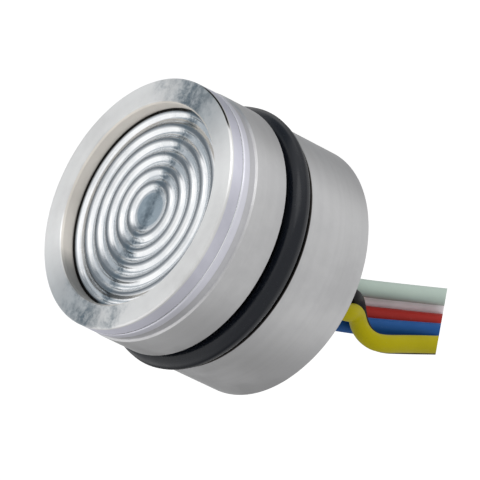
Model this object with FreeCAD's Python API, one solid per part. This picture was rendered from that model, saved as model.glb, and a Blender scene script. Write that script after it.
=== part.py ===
import FreeCAD, Part
import math
import os
from FreeCAD import Vector

# Pressure sensor capsule of a pressure transmitter: a turned stainless body, closed at the front by a
# corrugated diaphragm under a weld ring, with the sensing chip on a glass-sealed header behind it and
# short flying leads out of the back. Millimetres. The capsule's axis is Y and the diaphragm faces -Y.
# The origin is on the axis, at the middle of the rear seating land.

# Stations along the axis are measured back from the front face of the weld ring.
CAPSULE_LENGTH = 14.0
BODY_DIAMETER = 19.0

# Weld ring
RING_SETBACK = 0.07
RING_WIDTH = 1.855
RING_THICKNESS = 1.15
RING_OUTER_CHAMFER = 0.2
RING_INNER_CHAMFER = 0.18

# Diaphragm
FOIL_THICKNESS = 0.08
CENTRE_DISC_RADIUS = 1.45
RIM_MARGIN = 0.13
WAVE_HEIGHT = 0.24
FULL_WAVES = 5
FILL_GAP = 0.12
POCKET_MARGIN = 0.05

# Body outside
WELD_BEAD_LENGTH = 0.65
WELD_RELIEF_LENGTH = 0.55
WELD_RELIEF_DEPTH = 0.08
SHOULDER_LENGTH = 0.2
GROOVE_START = 5.45
GROOVE_WIDTH = 2.45
GROOVE_DEPTH = 1.35
GROOVE_ROOT_RADIUS = 0.2
GROOVE_EDGE_CHAMFER = 0.08
REAR_CHAMFER = 0.25

# Body inside
OIL_PORT_DIAMETER = 0.9
FRONT_WALL = 1.75
CHAMBER_SHOULDER = 0.85
CHIP_CHAMBER_DEPTH = 2.6
RIM_WALL = 1.8
BOARD_LEDGE_WIDTH = 0.95
LEDGE_STEP = 0.5
BOARD_STANDOFF = 1.35
CAVITY_MOUTH_CHAMFER = 0.3

# Seal ring
SEAL_SECTION = 1.8
SEAL_BACK_CLEARANCE = 0.05
SEAL_SEAT_CLEARANCE = 0.02

# Header
HEADER_THICKNESS = 2.8
HEADER_CLEARANCE = 0.04
HEADER_EDGE_CHAMFER = 0.25
WELD_LIP_WIDTH = 0.45
WELD_GROOVE_WIDTH = 0.4
WELD_GROOVE_DEPTH = 0.5
PIN_COUNT = 8
PIN_CIRCLE_INSET = 1.85
PIN_RADIUS = 0.225
PIN_TIP_CHAMFER = 0.06
PIN_FRONT_REACH = 0.75
PIN_REAR_REACH = 0.45
GLASS_RADIUS = 0.55
GLASS_MENISCUS = 0.08
FIT_CLEARANCE = 0.01

# Oil fill port in the header
FILL_PORT_RADIUS = 0.5
FILL_SEAT_RADIUS = 0.8
FILL_SEAT_DEPTH = 1.1
FILL_PORT_INSET = 1.1
FILL_PORT_PIN_PITCHES = 4.5
FILL_BALL_CLEARANCE = 0.02

# Chip and its glass pedestal, and the ceramic that takes up oil around them
PEDESTAL_WIDTH = 2.6
PEDESTAL_HEIGHT = 0.8
CHIP_WIDTH = 2.3
CHIP_HEIGHT = 0.4
CHIP_BEVEL = 0.06
SAME_PLANE = 1e-6
FILLER_CLEARANCE = 0.1
FILLER_THICKNESS = 2.2
FILLER_WINDOW_RADIUS = 2.6
FILLER_SLOT_WIDTH = 1.0
FILLER_PORT_MARGIN = 0.15
BOND_WIRE_RADIUS = 0.03
BOND_WIRE_RISE = 0.3
BOND_PAD_INSET = 0.3
BONDED_PINS = 6

# Compensation board
BOARD_CLEARANCE = 0.1
BOARD_THICKNESS = 0.8
BOARD_PIN_HOLE_CLEARANCE = 0.08
BOARD_LEAD_HOLE_CLEARANCE = 0.06
BOARD_NOTCH_RADIUS = 0.6
BOARD_NOTCH_ANGLES = (100.0, 260.0)
SOLDER_PIN_RADIUS = 0.62
SOLDER_LEAD_RADIUS = 0.6
SOLDER_HEIGHT = 0.4
SOLDER_CREST_SHARE = 0.4
SOLDER_WAIST_SHARE = 0.55
SOLDER_WAIST_HEIGHT_SHARE = 0.35

# Trimming resistors on the board: centre x, centre z and turn in degrees
RESISTOR_LENGTH = 1.6
RESISTOR_WIDTH = 0.8
RESISTOR_HEIGHT = 0.45
TERMINAL_LENGTH = 0.3
TERMINAL_PROUD = 0.02
RESISTORS = (
    (-2.1, 1.75, 0.0),
    (-2.1, 0.5, 0.0),
    (-2.6, -0.95, 90.0),
    (-1.6, -2.6, 0.0),
    (-5.9, 1.6, 90.0),
    (-5.9, -1.6, 90.0),
    (-2.0, 5.6, 0.0),
    (2.2, 5.6, 0.0),
)

# Flying leads. A route starts where the conductor enters the board, given by x and z, and each further
# point is x, distance behind the board's rear face, z. The bundle is snipped off in one slanted plane.
LEAD_DIAMETER = 1.3
CONDUCTOR_DIAMETER = 0.62
CONDUCTOR_CLEARANCE = 0.02
STRIPPED_LENGTH = 0.55
CONDUCTOR_TAIL = 0.15
BEND_SHARE = 0.45
LEAD_ROUTES = {
    "grey": ((0.7, 0.7), ((0.7, 4.4, 0.7), (0.7, 9.0, 1.6), (0.7, 13.6, 3.0), (0.7, 19.0, 4.7))),
    "white": ((-0.1, -0.7), ((-0.1, 4.4, -0.7), (-0.1, 9.0, 0.2), (-0.1, 13.6, 1.55), (-0.1, 19.0, 3.25))),
    "red": ((1.3, -1.2), ((1.3, 4.2, -1.2), (1.3, 9.0, -0.25), (1.3, 13.6, 1.1), (1.3, 19.0, 2.8))),
    "blue": ((2.7, -1.6), ((2.7, 4.0, -1.6), (2.7, 8.8, -0.65), (2.7, 13.4, 0.8), (2.7, 19.0, 2.75))),
    "black": ((3.9, 2.2), ((3.9, 2.2, 2.2), (5.12, 5.96, 2.09), (3.83, 7.76, 1.62), (3.9, 8.96, 0.39),
                           (4.14, 10.06, -0.26), (4.58, 11.26, -0.34), (4.13, 13.76, 0.35),
                           (4.02, 16.42, 1.36), (3.08, 19.96, 2.21))),
    "yellow": ((5.8, 0.9), ((5.8, 2.2, 0.9), (6.77, 5.16, 1.15), (5.85, 6.56, 1.37),
                            (5.86, 7.56, 0.52), (6.27, 8.36, 0.13), (6.5, 9.56, 0.14),
                            (6.08, 11.96, 0.9), (5.25, 15.26, 1.73), (4.9, 18.26, 2.69))),
}
SNIP_TURN = 37.2
SNIP_TILT = 24.5
SNIP_DISTANCE = 20.2

AXIS = Vector(0, 1, 0)
CENTRE = Vector(0, 0, 0)

# Stations and radii that more than one piece uses
RING_RADIUS = BODY_DIAMETER / 2 - RING_SETBACK
OPENING_RADIUS = RING_RADIUS - RING_WIDTH
WAVE_END_RADIUS = OPENING_RADIUS - RIM_MARGIN
HALF_WAVE = (WAVE_END_RADIUS - CENTRE_DISC_RADIUS) / (2 * FULL_WAVES + 1)
GROOVE_RADIUS = BODY_DIAMETER / 2 - GROOVE_DEPTH
REAR_CAVITY_RADIUS = BODY_DIAMETER / 2 - RIM_WALL
LEDGE_RADIUS = REAR_CAVITY_RADIUS - BOARD_LEDGE_WIDTH
HEADER_RADIUS = LEDGE_RADIUS - LEDGE_STEP
HEADER_BORE_RADIUS = HEADER_RADIUS + HEADER_CLEARANCE
CHIP_CHAMBER_RADIUS = HEADER_RADIUS - CHAMBER_SHOULDER
PIN_CIRCLE_RADIUS = HEADER_RADIUS - PIN_CIRCLE_INSET
FILL_PORT_CIRCLE_RADIUS = PIN_CIRCLE_RADIUS - FILL_PORT_INSET
DIAPHRAGM_STATION = RING_THICKNESS
CLAMP_STATION = DIAPHRAGM_STATION + FOIL_THICKNESS
SEAT_DISC_STATION = CLAMP_STATION + FILL_GAP + WAVE_HEIGHT
CHAMBER_STATION = SEAT_DISC_STATION + FRONT_WALL
HEADER_STATION = CHAMBER_STATION + CHIP_CHAMBER_DEPTH
HEADER_REAR = HEADER_STATION + HEADER_THICKNESS
BOARD_STATION = HEADER_REAR + BOARD_STANDOFF
BOARD_REAR = BOARD_STATION + BOARD_THICKNESS
GROOVE_END = GROOVE_START + GROOVE_WIDTH
LAND_MIDDLE = (GROOVE_END + CAPSULE_LENGTH) / 2
PEDESTAL_TOP = HEADER_STATION - PEDESTAL_HEIGHT
CHIP_TOP = PEDESTAL_TOP - CHIP_HEIGHT
CONDUCTOR_RADIUS = CONDUCTOR_DIAMETER / 2


def at(radius, station):
    """A point of a turned profile."""
    return Vector(radius, station - LAND_MIDDLE, 0)


def place(x, station, z):
    """A point anywhere in the capsule, by its station."""
    return Vector(x, station - LAND_MIDDLE, z)


def polygon_edges(points):
    return [Part.makeLine(a, b) for a, b in zip(points[:-1], points[1:])]


def turned(edges):
    """Turns a closed profile about the capsule's axis."""
    return Part.Face(Part.Wire(edges)).revolve(CENTRE, AXIS, 360)


def turned_polygon(points):
    return turned(polygon_edges(points + [points[0]]))


def round_bar(radius, start, end, x=0.0, z=0.0):
    """A bar parallel to the axis between two stations."""
    return Part.makeCylinder(radius, end - start, place(x, start, z), AXIS)


def circle_points(count, radius, first_angle=0.0):
    for index in range(count):
        angle = math.radians(first_angle + 360.0 * index / count)
        yield radius * math.cos(angle), radius * math.sin(angle)


def wave_edges(disc_station):
    """Corrugation from the flat centre disc out to the rim: equal tangent arcs, half a wave each."""
    quarter = HALF_WAVE / 2
    rise = WAVE_HEIGHT / 2
    arc_radius = (quarter ** 2 + rise ** 2) / (2 * rise)
    lean = math.asin(quarter / arc_radius) / 2
    bulge = arc_radius * (1 - math.cos(lean))
    middle = disc_station - rise
    edges = []
    start = at(CENTRE_DISC_RADIUS, disc_station)
    through = at(CENTRE_DISC_RADIUS + arc_radius * math.sin(lean), disc_station - bulge)
    end = at(CENTRE_DISC_RADIUS + quarter, middle)
    edges.append(Part.Arc(start, through, end).toShape())
    for index in range(1, 2 * FULL_WAVES + 1):
        apex = CENTRE_DISC_RADIUS + index * HALF_WAVE
        side = -rise if index % 2 else rise
        start = end
        end = at(apex + quarter, middle)
        edges.append(Part.Arc(start, at(apex, middle + side), end).toShape())
    rim = disc_station - WAVE_HEIGHT
    through = at(WAVE_END_RADIUS - arc_radius * math.sin(lean), rim + bulge)
    edges.append(Part.Arc(end, through, at(WAVE_END_RADIUS, rim)).toShape())
    return edges


def fill_port_centre():
    """The oil fill port lies between two pins, on a smaller circle."""
    angle = math.radians(360.0 * FILL_PORT_PIN_PITCHES / PIN_COUNT)
    return FILL_PORT_CIRCLE_RADIUS * math.cos(angle), FILL_PORT_CIRCLE_RADIUS * math.sin(angle)


def weld_ring():
    return turned_polygon([
        at(OPENING_RADIUS, RING_INNER_CHAMFER),
        at(OPENING_RADIUS + RING_INNER_CHAMFER, 0),
        at(RING_RADIUS - RING_OUTER_CHAMFER, 0),
        at(RING_RADIUS, RING_OUTER_CHAMFER),
        at(RING_RADIUS, RING_THICKNESS),
        at(OPENING_RADIUS, RING_THICKNESS),
    ])


def diaphragm():
    front_disc = DIAPHRAGM_STATION + WAVE_HEIGHT
    rear_disc = front_disc + FOIL_THICKNESS
    profile = polygon_edges([at(0, rear_disc), at(0, front_disc), at(CENTRE_DISC_RADIUS, front_disc)])
    profile += wave_edges(front_disc)
    profile += polygon_edges([
        at(WAVE_END_RADIUS, DIAPHRAGM_STATION),
        at(RING_RADIUS, DIAPHRAGM_STATION),
        at(RING_RADIUS, CLAMP_STATION),
        at(WAVE_END_RADIUS, CLAMP_STATION),
    ])
    profile += reversed(wave_edges(rear_disc))
    profile += polygon_edges([at(CENTRE_DISC_RADIUS, rear_disc), at(0, rear_disc)])
    return turned(Part.__sortEdges__(profile))


def body_profile():
    """Half section of the turned body, from the oil port round the front, the outside and the back."""
    port = OIL_PORT_DIAMETER / 2
    pocket = WAVE_END_RADIUS + POCKET_MARGIN
    rim = RING_RADIUS
    outside = BODY_DIAMETER / 2
    groove = GROOVE_RADIUS
    bead_end = CLAMP_STATION + WELD_BEAD_LENGTH
    relief_end = bead_end + WELD_RELIEF_LENGTH
    root = GROOVE_ROOT_RADIUS
    corner = root * (1 - math.sqrt(0.5))
    edge = GROOVE_EDGE_CHAMFER
    profile = polygon_edges([at(port, CHAMBER_STATION), at(port, SEAT_DISC_STATION),
                             at(CENTRE_DISC_RADIUS, SEAT_DISC_STATION)])
    profile += wave_edges(SEAT_DISC_STATION)
    profile += polygon_edges([
        at(WAVE_END_RADIUS, CLAMP_STATION + FILL_GAP),
        at(pocket, CLAMP_STATION + FILL_GAP),
        at(pocket, CLAMP_STATION),
        at(rim, CLAMP_STATION),
        at(rim, bead_end),
        at(rim - WELD_RELIEF_DEPTH, relief_end),
        at(outside, relief_end + SHOULDER_LENGTH),
        at(outside, GROOVE_START - edge),
        at(outside - edge, GROOVE_START),
        at(groove + root, GROOVE_START),
    ])
    profile.append(Part.Arc(at(groove + root, GROOVE_START),
                            at(groove + corner, GROOVE_START + corner),
                            at(groove, GROOVE_START + root)).toShape())
    profile += polygon_edges([at(groove, GROOVE_START + root), at(groove, GROOVE_END - root)])
    profile.append(Part.Arc(at(groove, GROOVE_END - root),
                            at(groove + corner, GROOVE_END - corner),
                            at(groove + root, GROOVE_END)).toShape())
    profile += polygon_edges([
        at(groove + root, GROOVE_END),
        at(outside - edge, GROOVE_END),
        at(outside, GROOVE_END + edge),
        at(outside, CAPSULE_LENGTH - REAR_CHAMFER),
        at(outside - REAR_CHAMFER, CAPSULE_LENGTH),
        at(REAR_CAVITY_RADIUS + CAVITY_MOUTH_CHAMFER, CAPSULE_LENGTH),
        at(REAR_CAVITY_RADIUS, CAPSULE_LENGTH - CAVITY_MOUTH_CHAMFER),
        at(REAR_CAVITY_RADIUS, BOARD_STATION),
        at(LEDGE_RADIUS, BOARD_STATION),
        at(LEDGE_RADIUS, HEADER_REAR),
        at(HEADER_BORE_RADIUS, HEADER_REAR),
        at(HEADER_BORE_RADIUS, HEADER_STATION),
        at(CHIP_CHAMBER_RADIUS, HEADER_STATION),
        at(CHIP_CHAMBER_RADIUS, CHAMBER_STATION),
        at(port, CHAMBER_STATION),
    ])
    return profile


def sensor_body():
    return turned(body_profile())


def seal_ring():
    radius = SEAL_SECTION / 2
    centre_radius = GROOVE_RADIUS + SEAL_SEAT_CLEARANCE + radius
    station = GROOVE_END - SEAL_BACK_CLEARANCE - radius
    return Part.makeTorus(centre_radius, radius, at(0, station), AXIS)


def header():
    lip = HEADER_RADIUS - WELD_LIP_WIDTH
    bottom = lip - WELD_GROOVE_WIDTH
    disc = turned_polygon([
        at(0, HEADER_STATION),
        at(HEADER_RADIUS - HEADER_EDGE_CHAMFER, HEADER_STATION),
        at(HEADER_RADIUS, HEADER_STATION + HEADER_EDGE_CHAMFER),
        at(HEADER_RADIUS, HEADER_REAR),
        at(lip, HEADER_REAR),
        at(lip, HEADER_REAR - WELD_GROOVE_DEPTH),
        at(bottom, HEADER_REAR - WELD_GROOVE_DEPTH),
        at(bottom, HEADER_REAR),
        at(0, HEADER_REAR),
    ])
    holes = [round_bar(GLASS_RADIUS + FIT_CLEARANCE, HEADER_STATION, HEADER_REAR, x, z)
             for x, z in circle_points(PIN_COUNT, PIN_CIRCLE_RADIUS)]
    x, z = fill_port_centre()
    holes.append(round_bar(FILL_PORT_RADIUS, HEADER_STATION, HEADER_REAR, x, z))
    holes.append(round_bar(FILL_SEAT_RADIUS, HEADER_REAR - FILL_SEAT_DEPTH, HEADER_REAR, x, z))
    return disc.cut(Part.makeCompound(holes))


def glass_seals():
    """A bead of glass round each pin, sunk a little at both faces of the header."""
    beads = []
    front = HEADER_STATION + GLASS_MENISCUS
    rear = HEADER_REAR - GLASS_MENISCUS
    for x, z in circle_points(PIN_COUNT, PIN_CIRCLE_RADIUS):
        bead = round_bar(GLASS_RADIUS, front, rear, x, z)
        beads.append(bead.cut(round_bar(PIN_RADIUS + FIT_CLEARANCE, front, rear, x, z)))
    return Part.makeCompound(beads)


def header_pins():
    front = HEADER_STATION - PIN_FRONT_REACH
    rear = BOARD_REAR + PIN_REAR_REACH
    tip = PIN_TIP_CHAMFER
    pins = []
    for x, z in circle_points(PIN_COUNT, PIN_CIRCLE_RADIUS):
        pin = turned_polygon([
            at(0, front), at(PIN_RADIUS, front), at(PIN_RADIUS, rear - tip),
            at(PIN_RADIUS - tip, rear), at(0, rear),
        ])
        pins.append(pin.translate(Vector(x, 0, z)))
    return Part.makeCompound(pins)


def fill_ball():
    radius = FILL_SEAT_RADIUS - FILL_BALL_CLEARANCE
    x, z = fill_port_centre()
    seat_rise = math.sqrt(radius ** 2 - FILL_PORT_RADIUS ** 2)
    station = HEADER_REAR - FILL_SEAT_DEPTH + seat_rise + FIT_CLEARANCE
    return Part.makeSphere(radius, place(x, station, z))


def square_block(width, front, rear):
    corner = place(-width / 2, front, -width / 2)
    return Part.makeBox(width, rear - front, width, corner)


def glass_pedestal():
    return square_block(PEDESTAL_WIDTH, PEDESTAL_TOP, HEADER_STATION)


def sensing_chip():
    """The chip's front edges are bevelled, as it is etched."""
    block = square_block(CHIP_WIDTH, CHIP_TOP, PEDESTAL_TOP)
    top = place(0, CHIP_TOP, 0).y
    front = [edge for edge in block.Edges
             if all(abs(vertex.Point.y - top) < SAME_PLANE for vertex in edge.Vertexes)]
    return block.makeChamfer(CHIP_BEVEL, front)


def ceramic_filler():
    front = HEADER_STATION - FILLER_THICKNESS
    radius = CHIP_CHAMBER_RADIUS - FILLER_CLEARANCE
    disc = round_bar(radius, front, HEADER_STATION)
    cuts = [round_bar(FILLER_WINDOW_RADIUS, front, HEADER_STATION)]
    half = FILLER_SLOT_WIDTH / 2
    for index, (x, z) in enumerate(circle_points(PIN_COUNT, PIN_CIRCLE_RADIUS)):
        slot = Part.makeBox(PIN_CIRCLE_RADIUS, FILLER_THICKNESS, FILLER_SLOT_WIDTH, place(0, front, -half))
        slot.rotate(CENTRE, AXIS, -360.0 * index / PIN_COUNT)
        cuts.append(slot)
        cuts.append(round_bar(half, front, HEADER_STATION, x, z))
    x, z = fill_port_centre()
    cuts.append(round_bar(FILL_PORT_RADIUS + FILLER_PORT_MARGIN, front, HEADER_STATION, x, z))
    return disc.cut(cuts)


def bond_wire(x, z):
    """A wire that arches from the chip's edge to the flat end of a pin."""
    away = Vector(x, 0, z).normalize()
    half_pad = CHIP_WIDTH / 2 - BOND_PAD_INSET
    reach = half_pad / max(abs(away.x), abs(away.z))
    lift = BOND_WIRE_RADIUS + FIT_CLEARANCE
    start = away * reach + place(0, CHIP_TOP - lift, 0)
    end = away * PIN_CIRCLE_RADIUS + place(0, HEADER_STATION - PIN_FRONT_REACH - lift, 0)
    top = (start + end) * 0.5
    top.y = min(start.y, end.y) - BOND_WIRE_RISE
    arch = Part.Arc(start, top, end).toShape()
    section = Part.Wire(Part.makeCircle(BOND_WIRE_RADIUS, start, arch.tangentAt(arch.FirstParameter)))
    return Part.Wire(arch).makePipeShell([section], True, False)


def bond_wires():
    pins = list(circle_points(PIN_COUNT, PIN_CIRCLE_RADIUS))[:BONDED_PINS]
    return Part.makeCompound([bond_wire(x, z) for x, z in pins])


def circuit_board():
    radius = REAR_CAVITY_RADIUS - BOARD_CLEARANCE
    board = round_bar(radius, BOARD_STATION, BOARD_REAR)
    pin_hole = PIN_RADIUS + BOARD_PIN_HOLE_CLEARANCE
    cuts = [round_bar(pin_hole, BOARD_STATION, BOARD_REAR, x, z)
            for x, z in circle_points(PIN_COUNT, PIN_CIRCLE_RADIUS)]
    lead_hole = CONDUCTOR_RADIUS + BOARD_LEAD_HOLE_CLEARANCE
    for start, _ in LEAD_ROUTES.values():
        cuts.append(round_bar(lead_hole, BOARD_STATION, BOARD_REAR, *start))
    for angle in BOARD_NOTCH_ANGLES:
        turn = math.radians(angle)
        cuts.append(round_bar(BOARD_NOTCH_RADIUS, BOARD_STATION, BOARD_REAR,
                              radius * math.cos(turn), radius * math.sin(turn)))
    return board.cut(Part.makeCompound(cuts))


def solder_cone(bore, foot, x, z):
    """A hollow-sided cone of solder round a wire, standing on the board's rear face."""
    top = BOARD_REAR + SOLDER_HEIGHT
    crest = bore + SOLDER_CREST_SHARE * (foot - bore)
    waist = bore + SOLDER_WAIST_SHARE * (foot - bore)
    waist_station = BOARD_REAR + SOLDER_WAIST_HEIGHT_SHARE * SOLDER_HEIGHT
    side = Part.Arc(at(foot, BOARD_REAR), at(waist, waist_station), at(crest, top))
    profile = polygon_edges([at(bore, BOARD_REAR), at(foot, BOARD_REAR)])
    profile.append(side.toShape())
    profile += polygon_edges([at(crest, top), at(bore, top), at(bore, BOARD_REAR)])
    return turned(profile).translate(Vector(x, 0, z))


def pin_solder():
    bore = PIN_RADIUS + FIT_CLEARANCE
    return Part.makeCompound([solder_cone(bore, SOLDER_PIN_RADIUS, x, z)
                              for x, z in circle_points(PIN_COUNT, PIN_CIRCLE_RADIUS)])


def lead_solder():
    bore = CONDUCTOR_RADIUS + FIT_CLEARANCE
    return Part.makeCompound([solder_cone(bore, SOLDER_LEAD_RADIUS, *start)
                              for start, _ in LEAD_ROUTES.values()])


def resistor_piece(spec, low, high, proud):
    """A block of one resistor between two distances along it, proud of the chip's own sides."""
    x, z, turn = spec
    width = RESISTOR_WIDTH + 2 * proud
    block = Part.makeBox(high - low, RESISTOR_HEIGHT + proud, width,
                         Vector(low, place(0, BOARD_REAR, 0).y, -width / 2))
    block.rotate(CENTRE, AXIS, turn)
    return block.translate(Vector(x, 0, z))


def resistor_chips():
    inner = RESISTOR_LENGTH / 2 - TERMINAL_LENGTH
    return Part.makeCompound([resistor_piece(spec, -inner, inner, 0.0) for spec in RESISTORS])


def resistor_terminals():
    outer = RESISTOR_LENGTH / 2
    inner = outer - TERMINAL_LENGTH
    pieces = []
    for spec in RESISTORS:
        pieces.append(resistor_piece(spec, inner, outer, TERMINAL_PROUD))
        pieces.append(resistor_piece(spec, -outer, -inner, TERMINAL_PROUD))
    return Part.makeCompound(pieces)


def lead_path(name, first_station):
    """Straight runs joined by tangent arcs, each arc as large as its shorter run allows.

    The bends are worked out from the board's rear face, so a wire and its insulation share them
    wherever each of them starts.
    """
    (x, z), further = LEAD_ROUTES[name]
    points = [place(x, BOARD_REAR, z)]
    points += [place(px, BOARD_REAR + back, pz) for px, back, pz in further]
    edges = []
    radii = []
    here = place(x, first_station, z)
    for before, corner, after in zip(points[:-2], points[1:-1], points[2:]):
        run_in = corner - before
        run_out = after - corner
        turn = run_in.getAngle(run_out)
        setback = BEND_SHARE * min(run_in.Length, run_out.Length)
        radius = setback / math.tan(turn / 2)
        run_in.normalize()
        run_out.normalize()
        start = corner - run_in * setback
        end = corner + run_out * setback
        inward = (run_out - run_in).normalize()
        middle = corner + inward * (radius / math.cos(turn / 2) - radius)
        edges.append(Part.LineSegment(here, start).toShape())
        edges.append(Part.Arc(start, middle, end).toShape())
        radii.append(round(radius, 1))
        here = end
    edges.append(Part.LineSegment(here, points[-1]).toShape())
    return Part.Wire(edges), radii


def snip_block():
    """The space behind the slanted plane in which the bundle of leads is cut off."""
    size = 2 * (SNIP_DISTANCE + BODY_DIAMETER)
    block = Part.makeBox(size, size, size, Vector(-size / 2, 0, -size / 2))
    block.rotate(CENTRE, Vector(1, 0, 0), SNIP_TILT)
    block.rotate(CENTRE, Vector(0, 0, 1), -SNIP_TURN)
    return block.translate(Vector(0, SNIP_DISTANCE, 0))


def tube_along(path, radius):
    start = path.Edges[0]
    section = Part.makeCircle(radius, start.valueAt(start.FirstParameter), AXIS)
    return path.makePipeShell([Part.Wire(section)], True, False)


def lead_insulation(name):
    path, radii = lead_path(name, BOARD_REAR + STRIPPED_LENGTH)
    print("lead", name, "length to the last point", round(path.Length, 1), "bend radii", radii)
    solid = tube_along(path, LEAD_DIAMETER / 2)
    bore = tube_along(path, CONDUCTOR_RADIUS + CONDUCTOR_CLEARANCE)
    expected = path.Length * math.pi * (LEAD_DIAMETER / 2) ** 2
    print("lead", name, "volume over section times length", round(solid.Volume / expected, 4))
    return solid.cut(bore).cut(snip_block())


def lead_conductor(name):
    path, _ = lead_path(name, BOARD_STATION - CONDUCTOR_TAIL)
    return tube_along(path, CONDUCTOR_RADIUS).cut(snip_block())


PIECES = {
    "sensor_body": sensor_body,
    "weld_ring": weld_ring,
    "diaphragm": diaphragm,
    "seal_ring": seal_ring,
    "header": header,
    "glass_seals": glass_seals,
    "header_pins": header_pins,
    "fill_ball": fill_ball,
    "glass_pedestal": glass_pedestal,
    "sensing_chip": sensing_chip,
    "ceramic_filler": ceramic_filler,
    "bond_wires": bond_wires,
    "circuit_board": circuit_board,
    "pin_solder": pin_solder,
    "lead_solder": lead_solder,
    "resistor_chips": resistor_chips,
    "resistor_terminals": resistor_terminals,
}


def build():
    os.makedirs("parts", exist_ok=True)
    for node, make in PIECES.items():
        make().exportStep("parts/" + node + ".step")
    for colour in LEAD_ROUTES:
        lead_insulation(colour).exportStep("parts/lead_" + colour + ".step")
        lead_conductor(colour).exportStep("parts/conductor_" + colour + ".step")


build()
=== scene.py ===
"""Looks of a pressure sensor capsule: turned steel, pressed foil, rubber ring, board and flying leads."""

import math

import bmesh
import bpy
from bpy.props import FloatProperty, FloatVectorProperty, IntProperty, PointerProperty
from bpy.types import Operator, Panel, PropertyGroup
from mathutils import Matrix, Vector


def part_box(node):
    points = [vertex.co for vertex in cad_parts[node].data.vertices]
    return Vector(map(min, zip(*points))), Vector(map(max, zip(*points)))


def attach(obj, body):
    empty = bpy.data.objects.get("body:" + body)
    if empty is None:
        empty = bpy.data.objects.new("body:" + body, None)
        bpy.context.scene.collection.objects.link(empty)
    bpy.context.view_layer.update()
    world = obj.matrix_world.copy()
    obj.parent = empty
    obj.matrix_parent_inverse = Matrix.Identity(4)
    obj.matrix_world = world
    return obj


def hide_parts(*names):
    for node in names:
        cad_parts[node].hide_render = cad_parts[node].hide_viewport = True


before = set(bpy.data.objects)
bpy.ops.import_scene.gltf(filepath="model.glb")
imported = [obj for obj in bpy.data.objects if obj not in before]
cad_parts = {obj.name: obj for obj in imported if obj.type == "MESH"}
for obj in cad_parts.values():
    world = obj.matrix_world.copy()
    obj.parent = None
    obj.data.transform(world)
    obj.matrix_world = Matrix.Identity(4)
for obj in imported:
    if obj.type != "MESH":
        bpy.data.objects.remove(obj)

bl_info = {
    "name": "Pressure Sensor Capsule",
    "version": (1, 0, 0),
    "blender": (4, 5, 0),
    "location": "View3D > Sidebar > Capsule",
    "description": "Dresses a pressure sensor capsule in turned steel, pressed foil, rubber and leads",
    "category": "Object",
}

MM = 0.001
AXIS = Vector((0.0, 1.0, 0.0))
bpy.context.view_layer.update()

# Places and sizes read from the frame. The capsule's axis is Y, and the diaphragm faces -Y.
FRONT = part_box("weld_ring")[0].y
RING_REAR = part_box("weld_ring")[1].y
RING_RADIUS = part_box("weld_ring")[1].x
BODY_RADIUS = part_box("sensor_body")[1].x
BODY_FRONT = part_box("sensor_body")[0].y
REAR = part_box("sensor_body")[1].y
SEAL_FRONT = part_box("seal_ring")[0].y
SEAL_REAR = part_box("seal_ring")[1].y
SEAL_OUTER_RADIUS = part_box("seal_ring")[1].x
FOIL_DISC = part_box("diaphragm")[1].y
BOARD_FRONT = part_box("circuit_board")[0].y
BOARD_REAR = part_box("circuit_board")[1].y
HEADER_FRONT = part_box("header")[0].y
HEADER_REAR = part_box("header")[1].y
HEADER_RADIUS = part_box("header")[1].x

# Turned profile: radii, and stations behind the front face, in millimetres
RING_OPENING = 7.575
RING_OUTER_CHAMFER = 0.10
RING_INNER_CHAMFER = 0.18
BEAD_START = 1.1
BEAD_END = 1.9
RELIEF_START = 1.82
RELIEF_END = 2.46
GROOVE_START = 5.45
GROOVE_END = 7.9
GROOVE_RADIUS = 8.15
GROOVE_FILLET = 0.2
LAND_EDGE = 0.08
REAR_CHAMFER = 0.25
CAVITY_RADIUS = 7.7
CAVITY_CHAMFER = 0.3
LEDGE_RADIUS = 6.75
HEADER_PLAY = 0.04
CHAMBER_RADIUS = 5.4
POCKET_RADIUS = 7.495
PORT_RADIUS = 0.45
FRONT_WALL = 1.75

# Points of a mesh that are nearer than this are one
TOUCHING = 1e-7

# Where the painted shade line on the ring's front edge lies, round from +X towards +Z
SHADE_LINE_ANGLE = math.radians(82)

# Half widths of the strip of painted dark reflection on the ring and on the foil
RING_REFLECTION_STRIP = 3.8 * MM
FOIL_REFLECTION_STRIP = 0.9 * MM

# Pressed waves of the foil, in millimetres
CENTRE_DISC = 1.45
HALF_WAVE = 0.545
WAVE_HEIGHT = 0.24
HALF_WAVES = 11
FOIL = 0.08
FILL_GAP = 0.12

# Lead routes: x, distance behind the board's rear face and z, in millimetres
LEAD_ROUTES = {
    "grey": ((0.7, 0.0, 0.7), (0.7, 4.4, 0.7), (0.7, 9.0, 1.6), (0.7, 13.6, 3.0), (0.7, 19.0, 4.7)),
    "white": ((-0.1, 0.0, -0.7), (-0.1, 4.4, -0.7), (-0.1, 9.0, 0.2), (-0.1, 13.6, 1.55),
              (-0.1, 19.0, 3.25)),
    "red": ((1.3, 0.0, -1.2), (1.3, 4.2, -1.2), (1.3, 9.0, -0.25), (1.3, 13.6, 1.1), (1.3, 19.0, 2.8)),
    "blue": ((2.7, 0.0, -1.6), (2.7, 4.0, -1.6), (2.7, 8.8, -0.65), (2.7, 13.4, 0.8), (2.7, 19.0, 2.75)),
    "black": ((3.9, 0.0, 2.2), (3.9, 2.2, 2.2), (5.12, 5.96, 2.09), (3.83, 7.76, 1.62),
              (3.9, 8.96, 0.39), (4.14, 10.06, -0.26), (4.58, 11.26, -0.34), (4.13, 13.76, 0.35),
              (4.02, 16.42, 1.36), (3.08, 19.96, 2.21)),
    "yellow": ((5.8, 0.0, 0.9), (5.8, 2.2, 0.9), (6.77, 5.16, 1.15), (5.85, 6.56, 1.37),
               (5.86, 7.56, 0.52), (6.27, 8.36, 0.13), (6.5, 9.56, 0.14), (6.08, 11.96, 0.9),
               (5.25, 15.26, 1.73), (4.9, 18.26, 2.69)),
}
STRIPPED = 0.55 * MM
STRANDS_RADIUS = 0.31 * MM
OUTER_STRANDS = 6
PIN_RADIUS = 0.235 * MM

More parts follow.
